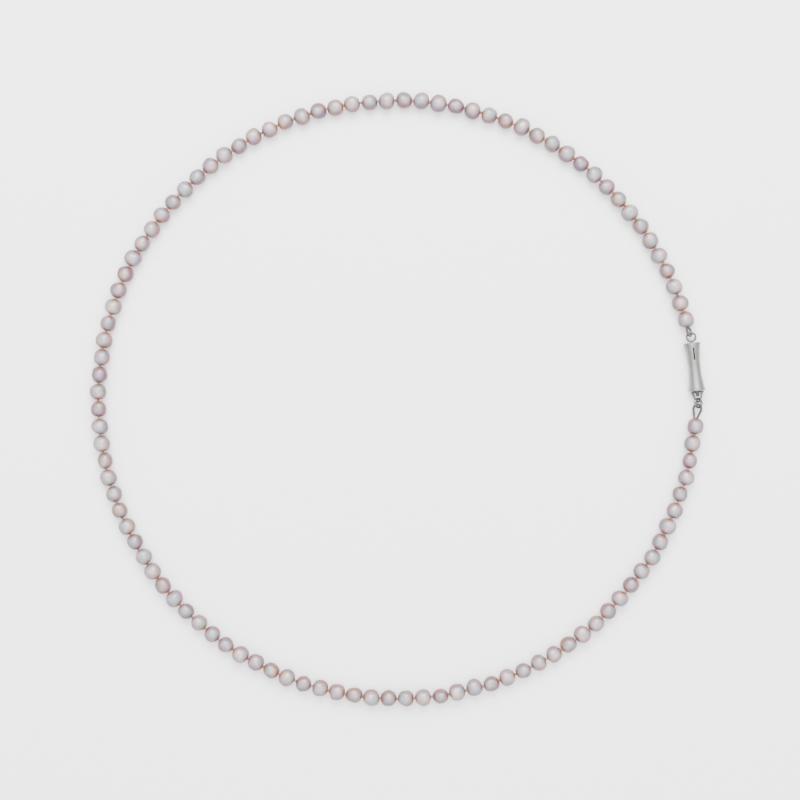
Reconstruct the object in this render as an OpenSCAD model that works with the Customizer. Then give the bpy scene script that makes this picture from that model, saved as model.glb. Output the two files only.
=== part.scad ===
// Pearl necklace: one strand of small knotted freshwater pearls that lies
// in a circle, closed by a waisted silver tube clasp with a push-in tongue.
// +Z is up, the strand rests on z = 0, and the clasp lies along Y at +X.

/* [Strand] */
// Radius of the circle that the knots lie on
loop_r = 71.6; // [60:0.5:90]
// Mean diameter of a pearl, across the silk
pearl_d = 3.9; // [3.4:0.1:5]
// Most that a pearl's diameter differs from the mean
pearl_d_spread = 0.2; // [0:0.02:0.3]
// Mean length of a pearl, along the silk
pearl_len = 3.52; // [3:0.05:4.6]
// Most that a pearl's length differs from the mean
pearl_len_spread = 0.1; // [0:0.02:0.16]
// Gap between two pearls, which a knot fills
knot_gap = 0.64; // [0.5:0.02:1]
// Diameter of the hole drilled through each pearl
bore_d = 0.84; // [0.7:0.02:1.2]
// Diameter of the doubled silk
thread_d = 0.38; // [0.25:0.01:0.5]
// Clearance between a knot and the rims of the drilled holes beside it
knot_play = 0.03; // [0.02:0.01:0.06]

/* [Clasp body] */
// Length of the closed clasp body, with its cap and mouth rim
clasp_len = 11.5; // [9:0.5:16]
// Diameter of the cap and of the mouth rim
clasp_end_d = 4.1; // [3.9:0.1:6]
// Diameter of the tube at its waist
clasp_waist_d = 2.9; // [2.8:0.1:3.8]
// How far the cap and the rim stand proud of the tube
flange_proud = 0.1; // [0.05:0.05:0.3]
// Thickness of the tube's wall
clasp_wall = 0.28; // [0.2:0.02:0.32]
// Thickness of the end cap's disc
cap_t = 0.5; // [0.3:0.05:0.8]
// Length of the cap's spigot inside the tube
spigot_len = 0.4; // [0.2:0.1:0.8]
// Clearance of the spigot in the tube
spigot_play = 0.03; // [0.02:0.01:0.05]
// Thickness of the mouth rim
rim_t = 0.4; // [0.3:0.05:0.6]
// Length of the slot in the top of the tube
slot_len = 2.9; // [1:0.1:4]
// Width of the slot
slot_w = 0.35; // [0.2:0.05:0.6]
// Distance from the cap to the near end of the slot
slot_set_back = 0.7; // [0.5:0.1:2]

/* [Tongue] */
// Width of the tongue's flat strip
tongue_w = 1.6; // [1.2:0.05:1.7]
// Thickness of the strip, and of the curl at its tip
tongue_t = 0.2; // [0.15:0.01:0.25]
// Length of the tongue inside the body, to the axis of its curl
tongue_reach = 7.9; // [6:0.1:9]
// Distance from the clasp's axis down to the underside of the strip
tongue_drop = 0.62; // [0.5:0.02:0.7]
// Radius of the bead that the spring leaf turns on
bead_r = 0.13; // [0.1:0.01:0.16]
// Clearance of the bead inside the curl
bead_play = 0.03; // [0.02:0.01:0.05]
// Thickness of the spring leaf
leaf_t = 0.16; // [0.1:0.01:0.2]
// Width of the spring leaf
leaf_w = 1.3; // [0.9:0.05:1.5]
// Width of the thumb tab that comes out of the mouth
tab_w = 0.9; // [0.6:0.05:1.1]
// How far the thumb tab reaches out of the mouth
tab_reach = 1.35; // [0.8:0.05:1.6]
// Height of the leaf's shoulder, which catches behind the mouth rim
shoulder_h = 0.46; // [0.4:0.02:0.5]
// Clearance of the shoulder under the rim's lip, and of the strip in the window
latch_play = 0.04; // [0.02:0.01:0.08]
// Height of the lip above the clasp's axis
lip_h = 0.62; // [0.56:0.02:0.7]
// Gap between the mouth rim and the yoke on a closed clasp
yoke_gap = 0.1; // [0.05:0.05:0.3]
// Thickness of the yoke along the clasp
yoke_t = 0.45; // [0.3:0.05:0.8]
// Width of the yoke across its two ears
yoke_w = 2.9; // [2.7:0.1:3.6]

/* [Links] */
// Diameter of the wire of the bail on the tongue
bail_wire_d = 0.5; // [0.4:0.05:0.6]
// Radius of the bend at the bail's outer end, to the middle of its wire
bail_bend_r = 0.66; // [0.6:0.02:0.9]
// Length of the bail from the yoke to the middle of its bend's wire
bail_len = 2.1; // [1.9:0.1:3]
// Diameter of the wire of the jump ring
ring_wire_d = 0.55; // [0.4:0.05:0.6]
// Tilt of the bail out of the strand's plane
bail_tilt = -25; // [-40:5:-15]
// Tilt of the jump ring, which hangs in the bail
ring_tilt = 35; // [30:5:45]
// Tilt of the tongue's loop of gimp the other way, in the jump ring
tongue_gimp_tilt = 40; // [35:5:50]
// Tilt of the cap's eye out of the strand's plane
eye_tilt = -5; // [-10:1:0]
// Tilt of the cap's loop of gimp, which hangs in the eye
cap_gimp_tilt = 55; // [50:1:58]
// Diameter of the wire of the cap's eye
eye_wire_d = 0.5; // [0.4:0.05:0.6]
// Outer diameter of the cap's eye
eye_d = 2.6; // [2.5:0.1:3.2]
// Diameter of the neck that the eye stands on
neck_d = 0.8; // [0.5:0.1:1.2]
// Height of the neck
neck_len = 0.1; // [0.05:0.05:0.5]
// Outer diameter of the gimp, the coil of fine wire that guards the silk
gimp_d = 0.62; // [0.5:0.02:0.7]
// Diameter of the hole through the gimp
gimp_hole_d = 0.42; // [0.3:0.02:0.5]
// Play between two linked wires where they pull on each other
link_play = 0.13; // [0.1:0.01:0.2]
// Radius of the cap's loop of gimp, to the middle of the gimp
cap_gimp_r = 1; // [0.95:0.05:1.3]
// Distance from the centre of that loop to the first pearl it enters
cap_gimp_len = 1.2; // [1.1:0.05:2]
// Radius of the tongue's loop of gimp, to the middle of the gimp
tongue_gimp_r = 1.1; // [1:0.05:1.3]
// Distance from the centre of that loop to the pearl it enters
tongue_gimp_len = 2.3; // [1.6:0.1:3.5]

/* [Hidden] */
STRANDS = 21;
function two_digits(n) = n < 10 ? str("0", n) : str(n);
$fn = 48;

SILVER = [0.78, 0.78, 0.79];
DARK_SILVER = [0.62, 0.62, 0.64];
SILK = [0.87, 0.78, 0.66];
FACE_GAP = 0.03;  // between two pieces of one body that don't touch
GOLDEN_ANGLE = 137.5;

// every axis of the strand and of the clasp is at one height
pearl_r_max = pearl_d / 2 + pearl_d_spread / 2;
axis_z = max(pearl_r_max, clasp_end_d / 2);

// the links at the tongue, by distance from the clasp's middle towards -Y
mouth_y = clasp_len / 2;
yoke_y = mouth_y + yoke_gap;
bail_y = yoke_y + yoke_t;
bail_bend_y = bail_y + bail_len;
bail_spread = yoke_w / 2 - bail_wire_d / 2;
ring_hole_d = bail_wire_d + gimp_d + 3 * link_play;
ring_r = (ring_hole_d + ring_wire_d) / 2;
ring_y = bail_bend_y - bail_wire_d / 2 - link_play + ring_hole_d / 2;
tongue_tip_y = ring_y + ring_hole_d / 2 - link_play - gimp_d / 2;
tongue_loop_y = tongue_tip_y + tongue_gimp_r;
tongue_mouth_y = tongue_loop_y + tongue_gimp_len;

// the links at the cap, by distance from the clasp's middle towards +Y
eye_r = (eye_d - eye_wire_d) / 2;
eye_y = clasp_len / 2 + neck_len + eye_d / 2;
cap_tip_y = eye_y + eye_r - eye_wire_d / 2 - link_play - gimp_d / 2;
cap_loop_y = cap_tip_y + cap_gimp_r;
cap_mouth_y = cap_loop_y + cap_gimp_len;

// the strand runs clockwise from the tongue to the cap
tongue_angle = asin(tongue_mouth_y / loop_r);
cap_angle = asin(cap_mouth_y / loop_r);
strand_angle = 360 - tongue_angle - cap_angle;
half_gap_angle = asin(knot_gap / 2 / loop_r);
wanted_step = 2 * asin((pearl_len + knot_gap) / 2 / loop_r);
pearl_count = round((strand_angle + 2 * half_gap_angle) / wanted_step);
step = (strand_angle + 2 * half_gap_angle) / pearl_count;
pitch = 2 * loop_r * sin(step / 2);
pearl_path_r = loop_r * cos(step / 2);

// pearls and knots
shortest_gap = pitch - pearl_len - pearl_len_spread;
knot_r = norm([bore_d, shortest_gap]) / 2 - knot_play;
function knot_angle(k) = tongue_angle - half_gap_angle + step * k;
function pearl_angle(k) = knot_angle(k) + step / 2;
function pearl_r(k) = (pearl_d + pearl_d_spread * sin(k * GOLDEN_ANGLE)) / 2;
function pearl_half(k) = (pearl_len + pearl_len_spread * cos(k * GOLDEN_ANGLE * 3)) / 2;
function first_pearl(s) = floor(pearl_count * (s - 1) / STRANDS);
function pearls_up_to(s) = floor(pearl_count * s / STRANDS);

// the clasp's tube is a concave arc turned round the Y axis
tube_len = clasp_len - cap_t - rim_t;
tube_mid_y = (rim_t - cap_t) / 2;
tube_end_r = clasp_end_d / 2 - flange_proud;
tube_dip = tube_end_r - clasp_waist_d / 2;
tube_arc_r = (pow(tube_len / 2, 2) + pow(tube_dip, 2)) / (2 * tube_dip);
function tube_r(y) = clasp_waist_d / 2 + tube_arc_r - sqrt(pow(tube_arc_r, 2) - y * y);

// the tongue, measured from the clasp's axis
curl_hole_r = bead_r + bead_play;
curl_z = tongue_t + curl_hole_r - tongue_drop;
curl_y = tongue_reach - mouth_y;
shoulder_y = rim_t + latch_play - mouth_y;
shoulder_top = lip_h - latch_play;
shoulder_t = 0.2;
leaf_run = curl_y - shoulder_y;
leaf_angle = atan2(shoulder_top - leaf_t / 2 - curl_z, leaf_run);
tab_z = shoulder_top - shoulder_h;
window_w = tongue_w + 2 * FACE_GAP + 0.2;

// a bore or a ring along the clasp
module along_y() {
    rotate([90, 0, 0])
        children();
}

// the clasp's place in the loop
module at_clasp() {
    translate([loop_r, 0, axis_z])
        children();
}

// the place of pearl k, with the silk along Y
module at_pearl(k) {
    rotate([0, 0, -pearl_angle(k)])
        translate([pearl_path_r, 0, axis_z])
            children();
}

// the place of the knot before pearl k
module at_knot(k) {
    rotate([0, 0, -knot_angle(k)])
        translate([loop_r, 0, axis_z])
            children();
}

// the outline of the tube at one depth below its outer face
module tube_outline(depth, spare) {
    difference() {
        translate([0, -tube_len / 2 - spare])
            square([tube_end_r + spare, tube_len + 2 * spare]);
        translate([clasp_waist_d / 2 - depth + tube_arc_r, 0])
            circle(r = tube_arc_r, $fn = 360);
    }
}

// a ring of round wire that lies flat
module wire_ring(r, wire_r) {
    rotate_extrude()
        translate([r, 0])
            circle(r = wire_r);
}

// a bent wire: an arc of radius r whose tip is at -Y, and two straight legs
// that leave it and end at x = +-spread and y = reach
module bent_wire(r, spread, reach, wire_r) {
    lean = atan2(reach, spread) - acos(r / norm([spread, reach]));
    leg = sqrt(spread * spread + reach * reach - r * r);
    rotate([0, 0, 180 - lean])
        rotate_extrude(angle = 180 + 2 * lean)
            translate([r, 0])
                circle(r = wire_r);
    for (side = [0, 1])
        mirror([side, 0, 0])
            rotate([0, 0, lean])
                translate([r, 0, 0])
                    rotate([-90, 0, 0])
                        cylinder(h = leg, r = wire_r);
}

// the tube, soldered to the cap and the rim
module clasp_body() {
    color(SILVER)
    at_clasp()
    translate([0, tube_mid_y, 0])
    difference() {
        along_y()
            rotate_extrude($fn = 96)
                difference() {
                    tube_outline(0, 0);
                    tube_outline(clasp_wall, 1);
                }
        translate([-slot_w / 2, tube_len / 2 - slot_set_back - slot_len, 0])
            cube([slot_w, slot_len, clasp_end_d]);
    }
}

// the disc that closes the tube, with its spigot
module end_cap() {
    inside_y = clasp_len / 2 - cap_t;
    spigot_r = tube_r(tube_len / 2 - spigot_len) - clasp_wall - spigot_play;
    color(SILVER)
    at_clasp()
    along_y() {
        translate([0, 0, -clasp_len / 2])
            cylinder(h = cap_t, d = clasp_end_d);
        translate([0, 0, -inside_y])
            cylinder(h = spigot_len, r = spigot_r);
    }
}

// the ring soldered to the cap on a short neck
module cap_eye() {
    color(SILVER)
    at_clasp() {
        translate([0, eye_y, 0])
            rotate([0, eye_tilt, 0])
                wire_ring(eye_r, eye_wire_d / 2);
        translate([0, clasp_len / 2, 0])
            rotate([-90, 0, 0])
                cylinder(h = neck_len + eye_wire_d / 2, d = neck_d);
    }
}

// the ring at the mouth, whose lip the spring leaf catches behind
module mouth_rim() {
    color(SILVER)
    at_clasp()
    difference() {
        along_y()
            translate([0, 0, mouth_y - rim_t])
                cylinder(h = rim_t, d = clasp_end_d);
        translate([-window_w / 2, -mouth_y - 1, -tongue_drop - 0.1])
            cube([window_w, rim_t + 2, lip_h + tongue_drop + 0.1]);
    }
}

// the flat strip, curled at its tip round the leaf's bead
module tongue_strip() {
    color(DARK_SILVER)
    at_clasp() {
        translate([-tongue_w / 2, -bail_y, -tongue_drop])
            cube([tongue_w, bail_y + curl_y, tongue_t]);
        translate([0, curl_y, curl_z])
            difference() {
                rotate([0, 90, 0])
                    cylinder(h = tongue_w, r = curl_hole_r + tongue_t, center = true);
                rotate([0, 90, 0])
                    cylinder(h = tongue_w + 1, r = curl_hole_r, center = true);
                translate([-tongue_w, -1, -curl_hole_r])
                    cube([2 * tongue_w, 1, 1]);
            }
    }
}

// the yoke that carries the bail and stops the tongue at the mouth
module tongue_yoke() {
    ear_x = tongue_w / 2 + FACE_GAP / 2;
    ear_top = bail_spread * sin(abs(bail_tilt)) + bail_wire_d / 2;
    color(SILVER)
    at_clasp() {
        translate([-yoke_w / 2, -bail_y, -tongue_drop - tongue_t])
            cube([yoke_w, yoke_t, tongue_t]);
        for (side = [0, 1])
            mirror([side, 0, 0])
                translate([ear_x, -bail_y, -tongue_drop])
                    cube([yoke_w / 2 - ear_x, yoke_t, tongue_drop + ear_top]);
    }
}

// the D of wire soldered to the yoke's ears
module tongue_bail() {
    reach = bail_len - bail_bend_r;
    color(SILVER)
    at_clasp()
        translate([0, -bail_y - reach, 0])
            rotate([0, bail_tilt, 0])
                difference() {
                    bent_wire(bail_bend_r, bail_spread, reach, bail_wire_d / 2);
                    translate([-yoke_w, reach, -1])
                        cube([2 * yoke_w, 1, 2]);
                }
}

// the spring leaf: bead, blade, shoulder and thumb tab
module spring_leaf() {
    tab_len = tab_reach + rim_t + latch_play;
    color(DARK_SILVER)
    at_clasp() {
        translate([0, curl_y, curl_z]) {
            rotate([0, 90, 0])
                cylinder(h = leaf_w, r = bead_r, center = true);
            rotate([-leaf_angle, 0, 0])
                translate([-leaf_w / 2, -leaf_run / cos(leaf_angle), -leaf_t / 2])
                    cube([leaf_w, leaf_run / cos(leaf_angle), leaf_t]);
        }
        translate([-leaf_w / 2, shoulder_y, tab_z])
            cube([leaf_w, shoulder_t, shoulder_h]);
        translate([-tab_w / 2, shoulder_y - tab_len, tab_z])
            cube([tab_w, tab_len + shoulder_t, leaf_t]);
    }
}

// the ring between the bail and the tongue's loop of gimp
module jump_ring() {
    color(SILVER)
    at_clasp()
        translate([0, -ring_y, 0])
            rotate([0, ring_tilt, 0])
                wire_ring(ring_r, ring_wire_d / 2);
}

// a loop of gimp that hangs in a ring centred here, from tip to reach along Y
module gimp_loop(tilt, tip, reach, r, wire_r) {
    rotate([0, tilt, 0])
        translate([0, tip + r, 0])
            bent_wire(r, 0, reach - tip - r, wire_r);
}

// the path of the gimp that links pearl 0 to the jump ring
module tongue_loop(wire_r) {
    way = loop_r * [1 - cos(tongue_angle), sin(tongue_angle)] - [0, ring_y];
    at_clasp()
        translate([0, -ring_y, 0])
            rotate([0, 0, 180 - atan2(way[0], way[1])])
                gimp_loop(tongue_gimp_tilt, tongue_tip_y - ring_y, norm(way), tongue_gimp_r, wire_r);
}

// the path of the gimp that links the last pearl to the eye of the cap
module cap_loop(wire_r) {
    way = loop_r * [1 - cos(cap_angle), sin(cap_angle)] - [0, eye_y];
    at_clasp()
        translate([0, eye_y, 0])
            rotate([0, 0, atan2(way[0], way[1])])
                gimp_loop(cap_gimp_tilt, cap_tip_y - eye_y, norm(way), cap_gimp_r, wire_r);
}

module gimp_tongue() {
    color(SILVER)
    difference() {
        tongue_loop(gimp_d / 2);
        tongue_loop(gimp_hole_d / 2);
        at_pearl(0)
            translate([-5, -10 + pearl_half(0) + FACE_GAP, -5])
                cube([10, 10, 10]);
    }
}

module gimp_cap() {
    last = pearl_count - 1;
    color(SILVER)
    difference() {
        cap_loop(gimp_d / 2);
        cap_loop(gimp_hole_d / 2);
        at_pearl(last)
            translate([-5, -pearl_half(last) - FACE_GAP, -5])
                cube([10, 10, 10]);
    }
}

// one drilled pearl, flattened at both ends of its hole and lying on z = 0
module pearl(k) {
    r = pearl_r(k);
    at_pearl(k)
        difference() {
            translate([0, 0, r - pearl_r_max])
                along_y()
                    rotate_extrude()
                        intersection() {
                            circle(r = r, $fn = 72);
                            translate([0, -pearl_half(k)])
                                square([r, 2 * pearl_half(k)]);
                        }
            along_y()
                cylinder(h = pearl_len * 2, d = bore_d, center = true);
        }
}

// the pearls of one length of the strand
module pearls(s) {
    color([0.80 + 0.03 * sin(s * GOLDEN_ANGLE), 0.76, 0.78 - 0.03 * sin(s * GOLDEN_ANGLE)])
    for (k = [first_pearl(s):pearls_up_to(s) - 1])
        pearl(k);
}

// the silk of one length of the strand, from clear of the knot it turns on
// to the knot that the next length turns on
module silk(s) {
    first = first_pearl(s);
    last = pearls_up_to(s) - 1;
    clear_of_knot = knot_r + knot_play;
    color(SILK) {
        for (k = [first:last])
            at_pearl(k) {
                after_knot = s == 1 ? pearl_half(k) : pitch / 2 - clear_of_knot;
                lead_in = k == first ? after_knot : pitch / 2;
                tail = k == pearl_count - 1 ? pearl_half(k) : pitch / 2;
                translate([0, lead_in, 0])
                    along_y()
                        cylinder(h = lead_in + tail, d = thread_d);
            }
        for (k = [first + 1:last + 1])
            if (k < pearl_count)
                at_knot(k)
                    sphere(r = knot_r);
        if (s == 1)
            tongue_loop(thread_d / 2);
        if (s == STRANDS)
            cap_loop(thread_d / 2);
    }
}

clasp_body();
end_cap();
cap_eye();
mouth_rim();
tongue_strip();
tongue_yoke();
tongue_bail();
spring_leaf();
jump_ring();
gimp_tongue();
gimp_cap();
for (s = [1:STRANDS])
    pearls(s);
for (s = [1:STRANDS])
    silk(s);
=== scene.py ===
import bpy, math, random
from mathutils import Matrix, Vector


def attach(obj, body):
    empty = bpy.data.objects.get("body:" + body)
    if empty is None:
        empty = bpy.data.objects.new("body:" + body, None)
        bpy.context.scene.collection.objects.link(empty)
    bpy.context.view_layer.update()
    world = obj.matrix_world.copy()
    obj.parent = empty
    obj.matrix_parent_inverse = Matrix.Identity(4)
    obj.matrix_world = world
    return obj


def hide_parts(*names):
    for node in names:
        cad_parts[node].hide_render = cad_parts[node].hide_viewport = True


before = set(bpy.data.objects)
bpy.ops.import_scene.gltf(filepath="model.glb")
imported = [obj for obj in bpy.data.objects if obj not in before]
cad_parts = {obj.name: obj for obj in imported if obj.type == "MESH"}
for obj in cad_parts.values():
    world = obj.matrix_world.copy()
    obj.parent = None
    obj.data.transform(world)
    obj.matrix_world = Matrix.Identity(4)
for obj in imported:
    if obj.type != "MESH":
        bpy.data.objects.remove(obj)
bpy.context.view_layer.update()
scene = bpy.context.scene

# The camera looks straight down on the strand, a hand's breadth wider than it,
# and is turned a little so that the clasp lies just above the middle on the right.
CAMERA_TURN = math.radians(-6.3)
CAMERA_LENS = 85.0
CAMERA_SENSOR = 36.0
CAMERA_WIDTH = 0.1916
CAMERA_ASIDE = 0.00067
CAMERA_BELOW = 0.0001
STRAND_MIDDLE = 0.002
camera_data = bpy.data.cameras.new("camera")
camera_data.lens = CAMERA_LENS
camera_data.clip_start = 0.01
camera = bpy.data.objects.new("camera", camera_data)
scene.collection.objects.link(camera)
across = Vector((math.cos(CAMERA_TURN), math.sin(CAMERA_TURN), 0))
upward = Vector((-math.sin(CAMERA_TURN), math.cos(CAMERA_TURN), 0))
camera_height = CAMERA_WIDTH * CAMERA_LENS / CAMERA_SENSOR + STRAND_MIDDLE
camera.location = across * CAMERA_ASIDE - upward * CAMERA_BELOW + Vector((0, 0, camera_height))
camera.rotation_euler = (0, 0, CAMERA_TURN)
scene.camera = camera


# The light is a wide soft window beyond the top of the loop, a weaker panel
# overhead, and a pale room that is dimmer near the horizon.
def add_panel(name, place, size, watts, tint):
    lamp = bpy.data.lights.new(name, "AREA")
    lamp.shape = "RECTANGLE"
    lamp.size, lamp.size_y = size
    lamp.energy = watts
    lamp.color = tint
    panel = bpy.data.objects.new(name, lamp)
    panel.location = place
    panel.rotation_euler = (Vector(place)).to_track_quat("Z", "Y").to_euler()
    scene.collection.objects.link(panel)


add_panel("window_light", upward * 0.42 + Vector((0, 0, 0.52)), (0.55, 0.34), 9.0, (1, 0.985, 0.97))
add_panel("ceiling_light", Vector((0.02, -0.03, 0.85)), (0.6, 0.6), 4.0, (0.97, 0.985, 1))
room = bpy.data.worlds.new("room")
room.use_nodes = True
scene.world = room
room_nodes, room_links = room.node_tree.nodes, room.node_tree.links
room_way = room_nodes.new("ShaderNodeTexCoord")
room_split = room_nodes.new("ShaderNodeSeparateXYZ")
room_ramp = room_nodes.new("ShaderNodeValToRGB")
room_ramp.color_ramp.elements[0].position = 0.0
room_ramp.color_ramp.elements[0].color = (0.10, 0.10, 0.105, 1)
room_ramp.color_ramp.elements[1].position = 0.85
room_ramp.color_ramp.elements[1].color = (1.0, 1.0, 1.0, 1)
room_links.new(room_way.outputs["Generated"], room_split.inputs[0])
room_links.new(room_split.outputs["Z"], room_ramp.inputs["Fac"])
room_links.new(room_ramp.outputs["Color"], room_nodes["Background"].inputs["Color"])
room_nodes["Background"].inputs["Strength"].default_value = 3.2

# The table: a plain matt white board, much wider than the necklace.
floor_mesh = bpy.data.meshes.new("floor")
floor_mesh.from_pydata([(-2, -2, 0), (2, -2, 0), (2, 2, 0), (-2, 2, 0)], [], [(0, 1, 2, 3)])
floor = bpy.data.objects.new("floor", floor_mesh)
scene.collection.objects.link(floor)
floor_paint = bpy.data.materials.new("white_board")
floor_paint.use_nodes = True
board = floor_paint.node_tree.nodes["Principled BSDF"]
board.inputs["Base Color"].default_value = (0.97, 0.97, 0.97, 1)
board.inputs["Roughness"].default_value = 0.75
board.inputs["Specular IOR Level"].default_value = 0.2
floor_mesh.materials.append(floor_paint)


# The clasp body, its cap, eye and mouth rim: sterling silver, spun and turned
# to shape, soldered together and polished. Fine buffing lines run round it.
def silver(name, colour, roughness, streak, dullness):
    paint = bpy.data.materials.new(name)
    paint.use_nodes = True
    nodes, links = paint.node_tree.nodes, paint.node_tree.links
    shader = nodes["Principled BSDF"]
    shader.inputs["Metallic"].default_value = 1.0
    place = nodes.new("ShaderNodeTexCoord")
    stretch = nodes.new("ShaderNodeMapping")
    stretch.inputs["Scale"].default_value = streak
    links.new(place.outputs["Object"], stretch.inputs["Vector"])
    buffing = nodes.new("ShaderNodeTexNoise")
    buffing.inputs["Scale"].default_value = 1.0
    buffing.inputs["Detail"].default_value = 6.0
    links.new(stretch.outputs["Vector"], buffing.inputs["Vector"])
    tarnish = nodes.new("ShaderNodeTexNoise")
    tarnish.inputs["Scale"].default_value = 420.0
    tarnish.inputs["Detail"].default_value = 4.0
    links.new(place.outputs["Object"], tarnish.inputs["Vector"])
    tone = nodes.new("ShaderNodeValToRGB")
    tone.color_ramp.elements[0].position = 0.32
    tone.color_ramp.elements[0].color = (*[c * dullness for c in colour[:2]], colour[2] * dullness * 0.96, 1)
    tone.color_ramp.elements[1].position = 0.62
    tone.color_ramp.elements[1].color = (*colour, 1)
    links.new(tarnish.outputs["Fac"], tone.inputs["Fac"])
    links.new(tone.outputs["Color"], shader.inputs["Base Color"])
    gloss = nodes.new("ShaderNodeMapRange")
    gloss.inputs["To Min"].default_value = roughness * 0.7
    gloss.inputs["To Max"].default_value = roughness * 1.5
    links.new(buffing.outputs["Fac"], gloss.inputs["Value"])
    links.new(gloss.outputs["Result"], shader.inputs["Roughness"])
    scratch = nodes.new("ShaderNodeBump")
    scratch.inputs["Strength"].default_value = 0.12
    scratch.inputs["Distance"].default_value = 0.00002
    links.new(buffing.outputs["Fac"], scratch.inputs["Height"])
    links.new(scratch.outputs["Normal"], shader.inputs["Normal"])
    return paint


def finish_node(node, paint):
    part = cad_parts[node]
    if not part.material_slots:
        part.data.materials.append(paint)
    for place in part.material_slots:
        place.material = paint


turned_silver = silver("turned_silver", (0.25, 0.255, 0.25), 0.38, (500, 9000, 500), 0.84)
for node in ("clasp_body", "end_cap", "mouth_rim"):
    finish_node(node, turned_silver)

# The eye on the cap, the D-shaped bail on the tongue and the jump ring: round
# silver wire, bent, closed with solder and polished by hand, marked every way.
# Painted shade: this silver is given a far darker colour than the turned silver, standing in for the shade
# and dark reflections around the clasp's mouth.
painted_shade_drawn_silver = silver("painted_shade_drawn_silver", (0.13, 0.132, 0.13), 0.22, (2600, 2600, 2600), 0.72)
for node in ("cap_eye", "tongue_bail", "jump_ring"):
    finish_node(node, painted_shade_drawn_silver)

# The tongue: a strip of rolled silver curled at its tip, and the yoke that is
# soldered across its outer end. Both keep the faint lines of the rolling mill.
# Painted shade: this silver is nearly black, far darker than the turned silver, standing in for the shadowed
# mouth of the clasp where the tongue and its yoke sit.
painted_shade_rolled_silver = silver("painted_shade_rolled_silver", (0.05, 0.05, 0.05), 0.30, (7000, 400, 7000), 0.7)
for node in ("tongue_strip", "tongue_yoke"):
    finish_node(node, painted_shade_rolled_silver)

# The spring leaf: hard-rolled silver strip with a shoulder and a thumb tab,
# which turns on its bead in the tongue's curl.
# Painted shade: the spring leaf takes the same nearly black silver.
finish_node("spring_leaf", painted_shade_rolled_silver)

# The gimp: two short lengths of bright coiled wire, threaded over the silk
# where it passes through the jump ring and through the eye of the cap.
AXIS_Z = 0.00205
CLASP_X = 0.0716
GIMP_COIL_R = 0.00026
GIMP_WIRE_R = 0.000052
GIMP_PITCH = 0.00011
GIMP_LEG_SPREAD = 0.0003
POINTS_PER_TURN = 10
LOOPS_OF_GIMP = {
    "tongue": dict(side=-1, centre=0.008775, mouth=0.01249, tip=0.000315, r=0.0011, tilt=40),
    "cap": dict(side=1, centre=0.00715, mouth=0.00971, tip=0.00036, r=0.001, tilt=55),
}


def loop_path(side, centre, mouth, tip, r, tilt, spread, count):
    """The middle line of a loop of gimp, from one leg's end round its tip to the other."""
    way = Vector((CLASP_X - math.sqrt(CLASP_X**2 - mouth**2), mouth - centre))
    reach = way.length - tip - r
    lean = math.atan2(reach, spread) - math.acos(r / math.hypot(spread, reach))
    leg = math.sqrt(spread**2 + reach**2 - r * r)
    arc = r * (math.pi + 2 * lean)
    whole = 2 * leg + arc
    points = []
    for i in range(count):
        s = whole * i / (count - 1)
        if s < leg:
            x, y, mirror = r, leg - s, -1
        elif s > leg + arc:
            x, y, mirror = r, s - leg - arc, 1
        else:
            a = math.pi - lean + (s - leg) / r
            points.append(Vector((r * math.cos(a), r * math.sin(a), 0)))
            continue
        points.append(Vector((mirror * (x * math.cos(lean) - y * math.sin(lean)),
                              x * math.sin(lean) + y * math.cos(lean), 0)))
    aim = math.atan2(way.x, way.y)
    turn = aim if side > 0 else math.pi - aim
    place = (Matrix.Translation((CLASP_X, side * centre, AXIS_Z)) @ Matrix.Rotation(turn, 4, "Z")
             @ Matrix.Rotation(math.radians(tilt), 4, "Y") @ Matrix.Translation((0, tip + r, 0)))
    return [place @ p for p in points]


def line_object(name, points):
    mesh = bpy.data.meshes.new(name)
    mesh.from_pydata([tuple(p) for p in points], [(i, i + 1) for i in range(len(points) - 1)], [])
    line = bpy.data.objects.new(name, mesh)
    scene.collection.objects.link(line)
    return line


def new_tree(name, sockets):
    tree = bpy.data.node_groups.new(name, "GeometryNodeTree")
    tree.interface.new_socket("Geometry", in_out="INPUT", socket_type="NodeSocketGeometry")
    for label, kind in sockets:
        tree.interface.new_socket(label, in_out="INPUT", socket_type=kind)
    tree.interface.new_socket("Geometry", in_out="OUTPUT", socket_type="NodeSocketGeometry")
    return tree, tree.nodes.new("NodeGroupInput"), tree.nodes.new("NodeGroupOutput")


def grow(source, tree, name, values):
    """The tree run on source with these inputs, as a plain mesh of its own."""
    modifier = source.modifiers.new("grow", "NODES")
    modifier.node_group = tree
    for socket in tree.interface.items_tree:
        if socket.in_out == "INPUT" and socket.name in values:
            modifier[socket.identifier] = values[socket.name]
    bpy.context.view_layer.update()
    grown = source.evaluated_get(bpy.context.evaluated_depsgraph_get())
    mesh = bpy.data.meshes.new_from_object(grown)
    mesh.name = name
    source.modifiers.remove(modifier)
    bpy.data.objects.remove(source)
    piece = bpy.data.objects.new(name, mesh)
    scene.collection.objects.link(piece)
    return piece


def math_node(tree, operation, *inputs):
    node = tree.nodes.new("ShaderNodeMath")
    node.operation = operation
    for socket, value in zip(node.inputs, inputs):
        if isinstance(value, (int, float)):
            socket.default_value = value
        else:
            tree.links.new(value, socket)
    return node.outputs[0]


def vector_node(tree, operation, *inputs):
    node = tree.nodes.new("ShaderNodeVectorMath")
    node.operation = operation
    for socket, value in zip([s for s in node.inputs if s.enabled], inputs):
        if isinstance(value, (int, float, tuple)):
            socket.default_value = value
        else:
            tree.links.new(value, socket)
    return node.outputs[0]


def scaled(tree, vector, factor):
    node = tree.nodes.new("ShaderNodeVectorMath")
    node.operation = "SCALE"
    tree.links.new(vector, node.inputs[0])
    tree.links.new(factor, node.inputs["Scale"])
    return node.outputs[0]


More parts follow.
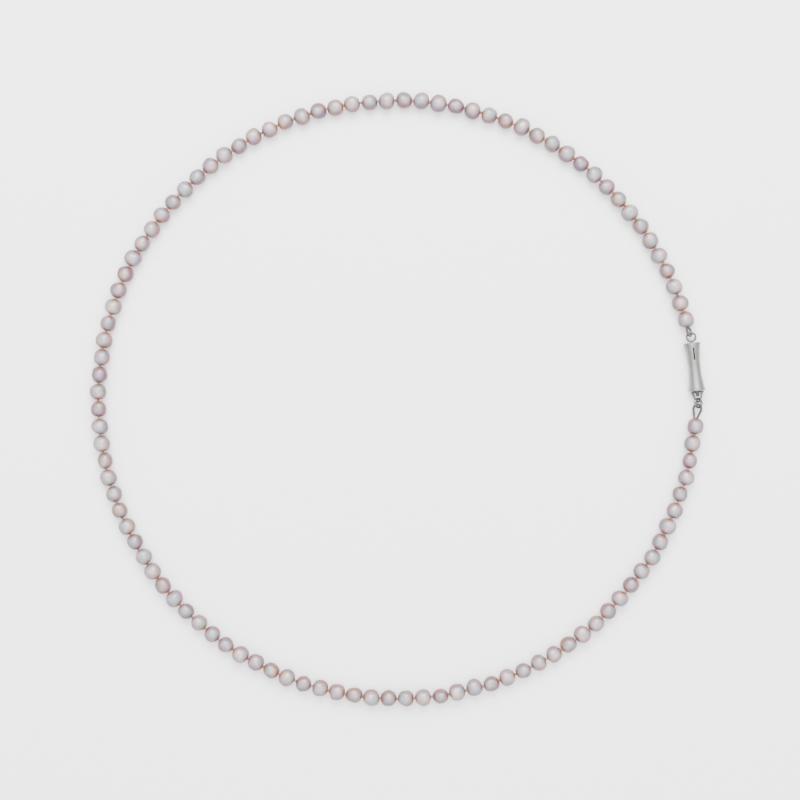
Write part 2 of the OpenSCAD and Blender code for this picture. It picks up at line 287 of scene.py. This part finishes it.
coil_tree, coil_in, coil_out = new_tree("coiled_wire", [
    ("Coil radius", "NodeSocketFloat"), ("Wire radius", "NodeSocketFloat"),
    ("Turns", "NodeSocketInt"), ("Finish", "NodeSocketMaterial")])
links = coil_tree.links
to_curve = coil_tree.nodes.new("GeometryNodeMeshToCurve")
links.new(coil_in.outputs["Geometry"], to_curve.inputs["Mesh"])
steps = coil_tree.nodes.new("GeometryNodeResampleCurve")
links.new(to_curve.outputs["Curve"], steps.inputs["Curve"])
links.new(math_node(coil_tree, "MULTIPLY", coil_in.outputs["Turns"], POINTS_PER_TURN), steps.inputs["Count"])
tangent = coil_tree.nodes.new("GeometryNodeInputTangent").outputs[0]
normal = coil_tree.nodes.new("GeometryNodeInputNormal").outputs[0]
side = vector_node(coil_tree, "CROSS_PRODUCT", tangent, normal)
turn_step = coil_tree.nodes.new("GeometryNodeInputIndex").outputs[0]
phase = math_node(coil_tree, "MULTIPLY", turn_step, math.tau / POINTS_PER_TURN)
wind = coil_tree.nodes.new("GeometryNodeSetPosition")
links.new(steps.outputs["Curve"], wind.inputs["Geometry"])
part_normal = scaled(coil_tree, normal, math_node(coil_tree, "COSINE", phase))
part_side = scaled(coil_tree, side, math_node(coil_tree, "SINE", phase))
outwards = vector_node(coil_tree, "ADD", part_normal, part_side)
links.new(scaled(coil_tree, outwards, coil_in.outputs["Coil radius"]), wind.inputs["Offset"])
wire_round = coil_tree.nodes.new("GeometryNodeCurvePrimitiveCircle")
wire_round.inputs["Resolution"].default_value = 6
links.new(coil_in.outputs["Wire radius"], wire_round.inputs["Radius"])
wire = coil_tree.nodes.new("GeometryNodeCurveToMesh")
links.new(wind.outputs["Geometry"], wire.inputs["Curve"])
links.new(wire_round.outputs["Curve"], wire.inputs["Profile Curve"])
wire.inputs["Fill Caps"].default_value = True
smooth = coil_tree.nodes.new("GeometryNodeSetShadeSmooth")
links.new(wire.outputs["Mesh"], smooth.inputs["Geometry"])
real = coil_tree.nodes.new("GeometryNodeRealizeInstances")
links.new(smooth.outputs[0], real.inputs["Geometry"])
coat = coil_tree.nodes.new("GeometryNodeSetMaterial")
links.new(real.outputs["Geometry"], coat.inputs["Geometry"])
links.new(coil_in.outputs["Finish"], coat.inputs["Material"])
links.new(coat.outputs["Geometry"], coil_out.inputs["Geometry"])

gimp_silver = silver("gimp_silver", (0.15, 0.15, 0.145), 0.28, (3000, 3000, 3000), 0.6)
for end, body in (("tongue", "strand_01"), ("cap", "strand_21")):
    path = loop_path(spread=GIMP_LEG_SPREAD, count=160, **LOOPS_OF_GIMP[end])
    length = sum((b - a).length for a, b in zip(path, path[1:]))
    coil = grow(line_object(f"gimp_path_{end}", path), coil_tree, f"gimp_coil_{end}", {
        "Coil radius": GIMP_COIL_R, "Wire radius": GIMP_WIRE_R,
        "Turns": round(length / GIMP_PITCH), "Finish": gimp_silver})
    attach(coil, body)
    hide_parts(f"gimp_{end}")

# The silk: one doubled thread through every pearl and through both loops of
# gimp, with an overhand knot drawn up tight against each pearl. Cream to peach.
THREAD_R = 0.00019
KNOT_R = 0.00042
PEARLS = 103
LENGTHS = 21
STEP = math.radians(3.32691)
FIRST_KNOT = math.radians(9.79008)
LEG_R = CLASP_X * math.cos(STEP / 2)
SILK_LEG_SPREAD = 0.0001
SILK_LEAD_IN = 0.0005


def knot_place(k):
    a = FIRST_KNOT + STEP * k
    return Vector((CLASP_X * math.cos(a), -CLASP_X * math.sin(a), AXIS_Z))


def pearls_of(length):
    return range(PEARLS * (length - 1) // LENGTHS, PEARLS * length // LENGTHS)


def silk_paint():
    paint = bpy.data.materials.new("doubled_silk")
    paint.use_nodes = True
    nodes, links = paint.node_tree.nodes, paint.node_tree.links
    shader = nodes["Principled BSDF"]
    shader.inputs["Roughness"].default_value = 0.72
    shader.inputs["Sheen Weight"].default_value = 0.35
    shader.inputs["Sheen Roughness"].default_value = 0.4
    place = nodes.new("ShaderNodeTexCoord")
    dye = nodes.new("ShaderNodeTexNoise")
    dye.inputs["Scale"].default_value = 130.0
    dye.inputs["Detail"].default_value = 3.0
    links.new(place.outputs["Object"], dye.inputs["Vector"])
    tone = nodes.new("ShaderNodeValToRGB")
    tone.color_ramp.elements[0].position = 0.36
    tone.color_ramp.elements[0].color = (0.24, 0.105, 0.06, 1)
    tone.color_ramp.elements[1].position = 0.62
    tone.color_ramp.elements[1].color = (0.36, 0.20, 0.14, 1)
    links.new(dye.outputs["Fac"], tone.inputs["Fac"])
    links.new(tone.outputs["Color"], shader.inputs["Base Color"])
    strands = nodes.new("ShaderNodeTexWave")
    strands.inputs["Scale"].default_value = 3800.0
    strands.inputs["Distortion"].default_value = 3.0
    strands.bands_direction = "DIAGONAL"
    links.new(place.outputs["Object"], strands.inputs["Vector"])
    twist = nodes.new("ShaderNodeBump")
    twist.inputs["Strength"].default_value = 0.5
    twist.inputs["Distance"].default_value = 0.00003
    links.new(strands.outputs["Fac"], twist.inputs["Height"])
    links.new(twist.outputs["Normal"], shader.inputs["Normal"])
    return paint


def knot_blank():
    """One tight overhand knot along Y: a coil of two and a half turns that closes on itself."""
    ring, turns, around = 26, 2.5, 6
    path = []
    for i in range(ring + 1):
        t = i / ring
        a = turns * math.tau * t
        r = KNOT_R * (0.30 + 0.26 * math.sin(math.pi * t))
        path.append(Vector((r * math.cos(a), KNOT_R * (1.15 * t - 0.575), r * math.sin(a))))
    verts, faces = [], []
    for i, p in enumerate(path):
        along = (path[min(i + 1, ring)] - path[max(i - 1, 0)]).normalized()
        out = Vector((p.x, 0, p.z)).normalized()
        out = (out - along * out.dot(along)).normalized()
        other = along.cross(out)
        for j in range(around):
            b = math.tau * j / around
            verts.append(p + (out * math.cos(b) + other * math.sin(b)) * KNOT_R * 0.40)
    for i in range(ring):
        for j in range(around):
            a, b = i * around + j, i * around + (j + 1) % around
            faces.append((a, b, b + around, a + around))
    faces.append(tuple(reversed(range(around))))
    faces.append(tuple(ring * around + j for j in range(around)))
    mesh = bpy.data.meshes.new("knot_blank")
    mesh.from_pydata(verts, [], faces)
    mesh.flip_normals()
    blank = bpy.data.objects.new("knot_blank", mesh)
    scene.collection.objects.link(blank)
    return blank


silk_tree, silk_in, silk_out = new_tree("knotted_silk", [
    ("Thread radius", "NodeSocketFloat"), ("Knot", "NodeSocketObject"), ("Finish", "NodeSocketMaterial")])
links = silk_tree.links
run = silk_tree.nodes.new("GeometryNodeMeshToCurve")
links.new(silk_in.outputs["Geometry"], run.inputs["Mesh"])
thread_round = silk_tree.nodes.new("GeometryNodeCurvePrimitiveCircle")
thread_round.inputs["Resolution"].default_value = 8
links.new(silk_in.outputs["Thread radius"], thread_round.inputs["Radius"])
thread = silk_tree.nodes.new("GeometryNodeCurveToMesh")
links.new(run.outputs["Curve"], thread.inputs["Curve"])
links.new(thread_round.outputs["Curve"], thread.inputs["Profile Curve"])
thread.inputs["Fill Caps"].default_value = True
tied = silk_tree.nodes.new("GeometryNodeInputNamedAttribute")
tied.data_type = "BOOLEAN"
tied.inputs["Name"].default_value = "tied"
lie = silk_tree.nodes.new("GeometryNodeInputNamedAttribute")
lie.data_type = "FLOAT_VECTOR"
lie.inputs["Name"].default_value = "lie"
knot_shape = silk_tree.nodes.new("GeometryNodeObjectInfo")
links.new(silk_in.outputs["Knot"], knot_shape.inputs["Object"])
to_points = silk_tree.nodes.new("GeometryNodeMeshToPoints")
links.new(silk_in.outputs["Geometry"], to_points.inputs["Mesh"])
links.new(tied.outputs["Attribute"], to_points.inputs["Selection"])
knots = silk_tree.nodes.new("GeometryNodeInstanceOnPoints")
links.new(to_points.outputs["Points"], knots.inputs["Points"])
links.new(knot_shape.outputs["Geometry"], knots.inputs["Instance"])
links.new(lie.outputs["Attribute"], knots.inputs["Rotation"])
join = silk_tree.nodes.new("GeometryNodeJoinGeometry")
links.new(thread.outputs["Mesh"], join.inputs["Geometry"])
links.new(knots.outputs["Instances"], join.inputs["Geometry"])
real = silk_tree.nodes.new("GeometryNodeRealizeInstances")
links.new(join.outputs["Geometry"], real.inputs["Geometry"])
smooth = silk_tree.nodes.new("GeometryNodeSetShadeSmooth")
links.new(real.outputs["Geometry"], smooth.inputs["Geometry"])
coat = silk_tree.nodes.new("GeometryNodeSetMaterial")
links.new(smooth.outputs[0], coat.inputs["Geometry"])
links.new(silk_in.outputs["Finish"], coat.inputs["Material"])
links.new(coat.outputs["Geometry"], silk_out.inputs["Geometry"])

doubled_silk = silk_paint()
knot_shape_blank = knot_blank()
chance = random.Random(7)
for length in range(1, LENGTHS + 1):
    own = pearls_of(length)
    points, knots_at = [], {}
    if length == 1:
        points += loop_path(spread=SILK_LEG_SPREAD, count=60, **LOOPS_OF_GIMP["tongue"])
        points.append(knot_place(0.5))
    else:
        start, onward = knot_place(own[0]), knot_place(own[0] + 1)
        points.append(start + (onward - start).normalized() * SILK_LEAD_IN)
    for k in range(own[0] + 1, own[-1] + 2):
        points.append(knot_place(k) if k < PEARLS else knot_place(k - 0.5))
        if k < PEARLS:
            knots_at[len(points) - 1] = k
    if length == LENGTHS:
        points += loop_path(spread=SILK_LEG_SPREAD, count=60, **LOOPS_OF_GIMP["cap"])
    line = line_object(f"silk_run_{length:02d}", points)
    line.data.attributes.new("tied", "BOOLEAN", "POINT")
    line.data.attributes.new("lie", "FLOAT_VECTOR", "POINT")
    is_tied, lies = line.data.attributes["tied"], line.data.attributes["lie"]
    for i, k in knots_at.items():
        is_tied.data[i].value = True
        about_silk = Matrix.Rotation(chance.uniform(0, math.tau), 3, "Y")
        spin = Matrix.Rotation(-(FIRST_KNOT + STEP * k), 3, "Z") @ about_silk
        lies.data[i].vector = spin.to_euler("XYZ")
    silk = grow(line, silk_tree, f"silk_thread_{length:02d}", {
        "Thread radius": THREAD_R, "Knot": knot_shape_blank, "Finish": doubled_silk})
    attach(silk, f"strand_{length:02d}")
    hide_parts(f"silk_{length:02d}")
bpy.data.objects.remove(knot_shape_blank)

# The pearls: small freshwater pearls, near round to potato-shaped, each one
# drilled through. Satin nacre, lavender to silver and cream, peach at the holes, with a paler painted
# highlight over the top of each pearl and darker painted shade on its sides.
PEARL_R = 0.002
PEARL_R_SPREAD = 0.0001
PEARL_HALF = 0.00188
PEARL_HALF_SPREAD = 0.00005
HOLE = 0.2
UNEVENNESS = 0.0006
GRAIN_LEVEL = 0.56
PEARL_LIFT = 0.00006
PEARL_WANDER = 0.0001
GOLDEN_ANGLE = math.radians(137.5)


def pearl_blank():
    """A drilled ball along Y, one unit in radius, with its skin and its place along the hole noted."""
    around, rows = 36, 22
    first = math.asin(HOLE + 0.03)
    profile = []
    for i in range(rows):
        a = first + (math.pi - 2 * first) * i / (rows - 1)
        r, y = math.sin(a), math.cos(a)
        profile.append((abs(r) ** 0.88, math.copysign(abs(y) ** 0.94, y), 1.0))
    top = profile[0][1]
    profile = [(HOLE, top - 0.02, 0.0)] + profile + [(HOLE, 0.02 - top, 0.0)]
    profile += [(HOLE, -0.4, 0.0), (HOLE, 0.4, 0.0)]
    verts, skin, faces = [], [], []
    for r, y, outer in profile:
        for j in range(around):
            b = math.tau * j / around
            verts.append((r * math.cos(b), y / top, r * math.sin(b)))
            skin.append(outer)
    n = len(profile)
    for i in range(n):
        for j in range(around):
            a, b = i * around + j, i * around + (j + 1) % around
            c, d = (i + 1) % n * around + (j + 1) % around, (i + 1) % n * around + j
            faces.append((a, b, c, d))
    mesh = bpy.data.meshes.new("pearl_blank")
    mesh.from_pydata(verts, [], faces)
    outer = mesh.attributes.new("skin", "FLOAT", "POINT")
    local = mesh.attributes.new("local", "FLOAT_VECTOR", "POINT")
    for i, v in enumerate(verts):
        outer.data[i].value = skin[i]
        local.data[i].vector = v
    blank = bpy.data.objects.new("pearl_blank", mesh)
    scene.collection.objects.link(blank)
    return blank


def nacre():
    paint = bpy.data.materials.new("nacre")
    paint.use_nodes = True
    nodes, links = paint.node_tree.nodes, paint.node_tree.links
    shader = nodes["Principled BSDF"]
    shader.inputs["Metallic"].default_value = 0.25
    shader.inputs["IOR"].default_value = 1.36
    shader.inputs["Specular Tint"].default_value = (0.72, 0.54, 0.60, 1)
    shader.inputs["Coat Weight"].default_value = 0.35
    shader.inputs["Coat IOR"].default_value = 1.38
    shader.inputs["Coat Roughness"].default_value = 0.2
    shader.inputs["Subsurface Weight"].default_value = 0.06
    shader.inputs["Subsurface Radius"].default_value = (0.0006, 0.0005, 0.00045)
    shader.inputs["Subsurface Scale"].default_value = 1.0

    def read(name):
        note = nodes.new("ShaderNodeAttribute")
        note.attribute_name = name
        return note

    def ramp(stops, fac):
        band = nodes.new("ShaderNodeValToRGB")
        while len(band.color_ramp.elements) < len(stops):
            band.color_ramp.elements.new(0.5)
        for stop, (position, colour) in zip(band.color_ramp.elements, stops):
            stop.position, stop.color = position, (*colour, 1)
        links.new(fac, band.inputs["Fac"])
        return band.outputs["Color"]

    def blend(kind, fac, a, b):
        mix = nodes.new("ShaderNodeMix")
        mix.data_type, mix.blend_type = "RGBA", kind
        if isinstance(fac, float):
            mix.inputs["Factor"].default_value = fac
        else:
            links.new(fac, mix.inputs["Factor"])
        links.new(a, mix.inputs[6])
        if isinstance(b, tuple):
            mix.inputs[7].default_value = b
        else:
            links.new(b, mix.inputs[7])
        return mix.outputs[2]

    local, seed = read("local"), read("seed")
    spot = nodes.new("ShaderNodeVectorMath")
    spot.operation = "ADD"
    links.new(local.outputs["Vector"], spot.inputs[0])
    links.new(seed.outputs["Vector"], spot.inputs[1])
    # Each pearl's own tint, kept dark so that its sides read as painted shade below the painted highlight.
    body = ramp([(0.0, (0.105, 0.040, 0.052)), (0.22, (0.14, 0.060, 0.070)), (0.45, (0.17, 0.088, 0.092)),
                 (0.66, (0.165, 0.072, 0.058)), (0.82, (0.20, 0.115, 0.075)), (0.93, (0.12, 0.10, 0.075)),
                 (1.0, (0.21, 0.13, 0.11))], read("tint").outputs["Fac"])
    cloud = nodes.new("ShaderNodeTexNoise")
    cloud.inputs["Scale"].default_value = 0.9
    cloud.inputs["Detail"].default_value = 2.0
    links.new(spot.outputs[0], cloud.inputs["Vector"])
    orient = ramp([(0.30, (0.10, 0.17, 0.155)), (0.45, (0.14, 0.13, 0.19)), (0.56, (0.22, 0.095, 0.135)),
                   (0.70, (0.24, 0.14, 0.07))], cloud.outputs["Fac"])
    colour = blend("MIX", 0.35, body, orient)
    # Painted highlight: by height above the table, the top of each pearl is blended towards paler lustre
    # colours.
    place = nodes.new("ShaderNodeTexCoord")
    upright = nodes.new("ShaderNodeSeparateXYZ")
    links.new(place.outputs["Object"], upright.inputs[0])
    painted_highlight_top = nodes.new("ShaderNodeMapRange")
    painted_highlight_top.interpolation_type = "SMOOTHSTEP"
    painted_highlight_top.inputs["From Min"].default_value = 0.0028
    painted_highlight_top.inputs["From Max"].default_value = 0.0041
    painted_highlight_top.inputs["To Max"].default_value = 0.9
    links.new(upright.outputs["Z"], painted_highlight_top.inputs["Value"])
    painted_highlight_colour = ramp([(0.34, (0.29, 0.38, 0.35)), (0.46, (0.34, 0.34, 0.40)), (0.58, (0.48, 0.37, 0.38)),
                   (0.70, (0.54, 0.42, 0.33))], cloud.outputs["Fac"])
    colour = blend("MIX", painted_highlight_top.outputs["Result"], colour, painted_highlight_colour)
    ends = nodes.new("ShaderNodeSeparateXYZ")
    links.new(local.outputs["Vector"], ends.inputs[0])
    far = nodes.new("ShaderNodeMath")
    far.operation = "ABSOLUTE"
    links.new(ends.outputs["Y"], far.inputs[0])
    glow = nodes.new("ShaderNodeMapRange")
    glow.interpolation_type = "SMOOTHSTEP"
    glow.inputs["From Min"].default_value = 0.72
    glow.inputs["From Max"].default_value = 1.0
    glow.inputs["To Max"].default_value = 0.6
    links.new(far.outputs[0], glow.inputs["Value"])
    colour = blend("MIX", glow.outputs["Result"], colour, (0.24, 0.10, 0.055, 1))
    growth = nodes.new("ShaderNodeTexNoise")
    growth.inputs["Scale"].default_value = 3.5
    growth.inputs["Detail"].default_value = 5.0
    growth.inputs["Distortion"].default_value = 0.6
    links.new(spot.outputs[0], growth.inputs["Vector"])
    shade = ramp([(0.3, (0.90, 0.90, 0.90)), (0.7, (1.0, 1.0, 1.0))], growth.outputs["Fac"])
    links.new(blend("MULTIPLY", 1.0, colour, shade), shader.inputs["Base Color"])
    gloss = nodes.new("ShaderNodeMapRange")
    gloss.inputs["To Min"].default_value = 0.26
    gloss.inputs["To Max"].default_value = 0.42
    links.new(growth.outputs["Fac"], gloss.inputs["Value"])
    links.new(gloss.outputs["Result"], shader.inputs["Roughness"])
    dimple = nodes.new("ShaderNodeBump")
    dimple.inputs["Strength"].default_value = 0.25
    dimple.inputs["Distance"].default_value = 0.00006
    links.new(growth.outputs["Fac"], dimple.inputs["Height"])
    links.new(dimple.outputs["Normal"], shader.inputs["Normal"])
    return paint


pearl_tree, pearl_in, pearl_out = new_tree("drilled_pearls", [
    ("Blank", "NodeSocketObject"), ("Unevenness", "NodeSocketFloat"), ("Finish", "NodeSocketMaterial")])
links = pearl_tree.links


def named(tree, name, kind):
    note = tree.nodes.new("GeometryNodeInputNamedAttribute")
    note.data_type = kind
    note.inputs["Name"].default_value = name
    return note.outputs["Attribute"]


blank_shape = pearl_tree.nodes.new("GeometryNodeObjectInfo")
links.new(pearl_in.outputs["Blank"], blank_shape.inputs["Object"])
at_points = pearl_tree.nodes.new("GeometryNodeMeshToPoints")
links.new(pearl_in.outputs["Geometry"], at_points.inputs["Mesh"])
row = pearl_tree.nodes.new("GeometryNodeInstanceOnPoints")
links.new(at_points.outputs["Points"], row.inputs["Points"])
links.new(blank_shape.outputs["Geometry"], row.inputs["Instance"])
links.new(named(pearl_tree, "lie", "FLOAT_VECTOR"), row.inputs["Rotation"])
links.new(named(pearl_tree, "size", "FLOAT_VECTOR"), row.inputs["Scale"])
real = pearl_tree.nodes.new("GeometryNodeRealizeInstances")
links.new(row.outputs["Instances"], real.inputs["Geometry"])
uneven = pearl_tree.nodes.new("GeometryNodeSetPosition")
links.new(real.outputs["Geometry"], uneven.inputs["Geometry"])
grain = pearl_tree.nodes.new("ShaderNodeTexNoise")
grain.inputs["Scale"].default_value = 0.75
grain.inputs["Detail"].default_value = 1.0
spot = vector_node(pearl_tree, "ADD", named(pearl_tree, "local", "FLOAT_VECTOR"),
                   named(pearl_tree, "seed", "FLOAT_VECTOR"))
links.new(spot, grain.inputs["Vector"])
height = math_node(pearl_tree, "SUBTRACT", grain.outputs["Fac"], GRAIN_LEVEL)
height = math_node(pearl_tree, "MULTIPLY", height, named(pearl_tree, "skin", "FLOAT"))
height = math_node(pearl_tree, "MULTIPLY", height, pearl_in.outputs["Unevenness"])
skin_normal = pearl_tree.nodes.new("GeometryNodeInputNormal").outputs[0]
links.new(scaled(pearl_tree, skin_normal, height), uneven.inputs["Offset"])
smooth = pearl_tree.nodes.new("GeometryNodeSetShadeSmooth")
links.new(uneven.outputs["Geometry"], smooth.inputs["Geometry"])
coat = pearl_tree.nodes.new("GeometryNodeSetMaterial")
links.new(smooth.outputs[0], coat.inputs["Geometry"])
links.new(pearl_in.outputs["Finish"], coat.inputs["Material"])
links.new(coat.outputs["Geometry"], pearl_out.inputs["Geometry"])

nacre_finish = nacre()
blank = pearl_blank()
chance = random.Random(41)
for length in range(1, LENGTHS + 1):
    places = bpy.data.meshes.new("pearl_places")
    own = pearls_of(length)
    rows = []
    for k in own:
        a = FIRST_KNOT + STEP * (k + 0.5)
        r = PEARL_R + PEARL_R_SPREAD * math.sin(k * GOLDEN_ANGLE)
        half = PEARL_HALF + PEARL_HALF_SPREAD * math.cos(k * 3 * GOLDEN_ANGLE)
        tall = r * chance.uniform(0.93, 1.0)
        wide = r * chance.uniform(0.97, 1.03)
        wander = chance.gauss(0, PEARL_WANDER)
        place = ((LEG_R + wander) * math.cos(a), -(LEG_R + wander) * math.sin(a), tall + PEARL_LIFT)
        spin = (Matrix.Rotation(-a, 3, "Z") @ Matrix.Rotation(chance.gauss(0, math.radians(3)), 3, "Z")
                @ Matrix.Rotation(chance.gauss(0, math.radians(4)), 3, "X"))
        tint = min(1.0, max(0.0, chance.betavariate(1.6, 1.9)))
        rows.append((place, (wide, half, tall), spin.to_euler("XYZ"), tint,
                     [chance.uniform(-40, 40) for _ in range(3)]))
    places.from_pydata([r[0] for r in rows], [], [])
    for name, kind, column in (("size", "FLOAT_VECTOR", 1), ("lie", "FLOAT_VECTOR", 2),
                               ("tint", "FLOAT", 3), ("seed", "FLOAT_VECTOR", 4)):
        notes = places.attributes.new(name, kind, "POINT")
        for i, one in enumerate(rows):
            if kind == "FLOAT":
                notes.data[i].value = one[column]
            else:
                notes.data[i].vector = one[column]
    spots = bpy.data.objects.new("pearl_places", places)
    scene.collection.objects.link(spots)
    pearls = grow(spots, pearl_tree, f"drilled_pearls_{length:02d}", {
        "Blank": blank, "Unevenness": UNEVENNESS, "Finish": nacre_finish})
    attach(pearls, f"strand_{length:02d}")
    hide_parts(f"pearls_{length:02d}")
bpy.data.objects.remove(blank)
